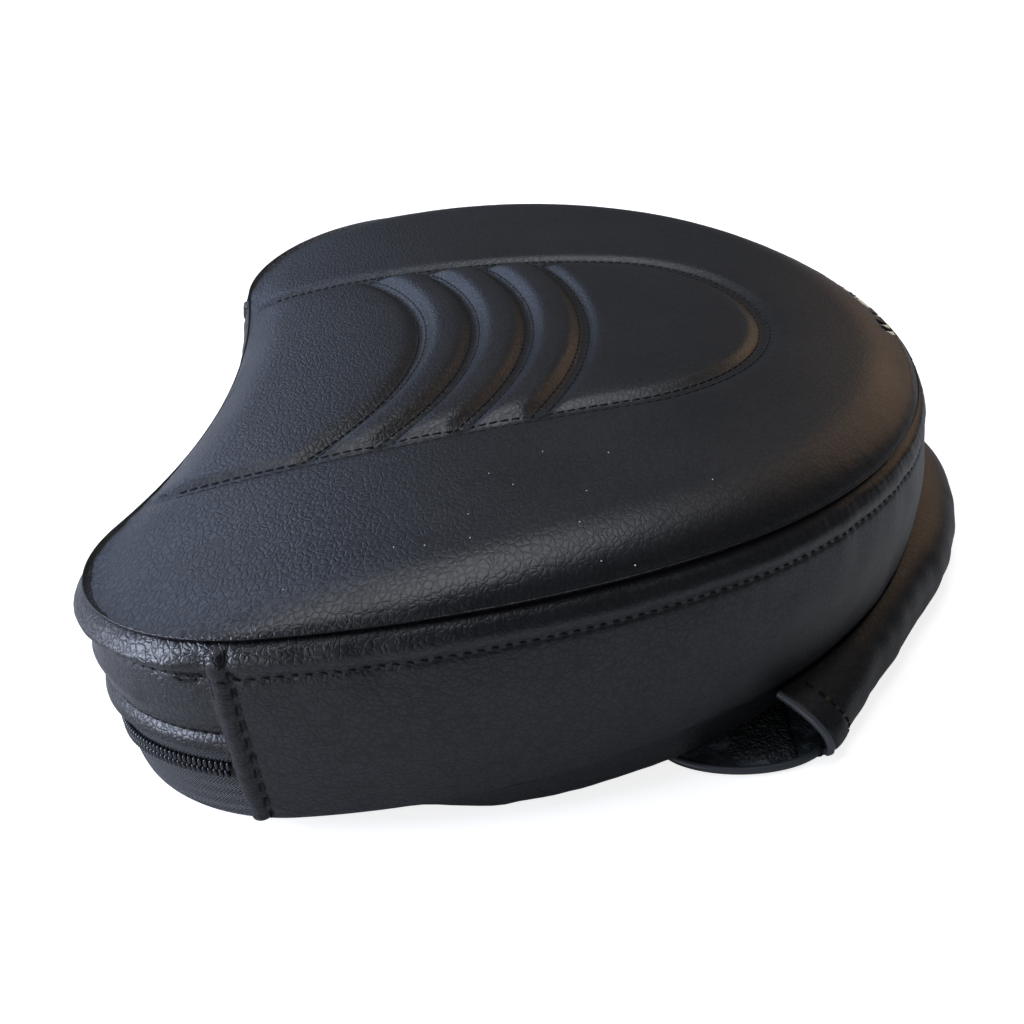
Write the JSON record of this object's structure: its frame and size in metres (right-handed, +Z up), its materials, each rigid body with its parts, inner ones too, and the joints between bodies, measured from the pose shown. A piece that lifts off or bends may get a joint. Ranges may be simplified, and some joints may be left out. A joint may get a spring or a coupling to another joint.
{
  "type": "motorcycle driver backrest pad",
  "caption": "Padded backrest cushion with a sewn vinyl cover, curved stitched ribs, a zip round its hollow lower end and a folded rear flap that closes round a bracket.",
  "frame": {"origin": "centre of the whole pad's box, on the ground it lies on", "axes": "+Z up out of the front face, +X towards the round end, +Y across the pad; the pad lies on its back, round end raised 5.6 degrees by its folded flap"},
  "size_m": [0.2458, 0.2955, 0.0709],
  "materials": {
    "vinyl": "satin, pebble grain",
    "zip_cloth": "matt weave",
    "zip_coil": "satin",
    "zip_metal": "satin black",
    "hook_and_loop": "matt",
    "board": "raw plywood",
    "insert": "zinc plated",
    "foam": "open-cell foam"
  },
  "bodies": {
    "pad": {"face_panel": "vinyl", "side_band": "vinyl", "zip_end_strip": "vinyl", "back_panel": "vinyl", "rear_flap": "vinyl", "zip_tape_upper": "zip_cloth", "zip_tape_lower": "zip_cloth", "zip_coil_upper": "zip_coil", "zip_coil_lower": "zip_coil", "hook_strip": "hook_and_loop", "loop_strip": "hook_and_loop", "backing_board": "board", "threaded_inserts": "insert", "foam_core": "foam", "back_foam": "foam", "quilting_foam": "foam"},
    "slider": {"zip_slider": "zip_metal"},
    "puller": {"zip_puller": "zip_metal"}
  },
  "joints": [
    {"name": "zip_slide", "type": "hinge", "parent": "pad", "child": "slider", "pos_m": [-0.48457, 0, -0.02939], "axis": [0.0976, 0, -0.9952], "range_deg": [0, 22.89]},
    {"name": "puller_hinge", "type": "hinge", "parent": "slider", "child": "puller", "pos_m": [-0.11907, 0.07434, 0.00645], "axis": [0.0976, 0, -0.9952], "range_deg": [0, 150]}
  ]
}
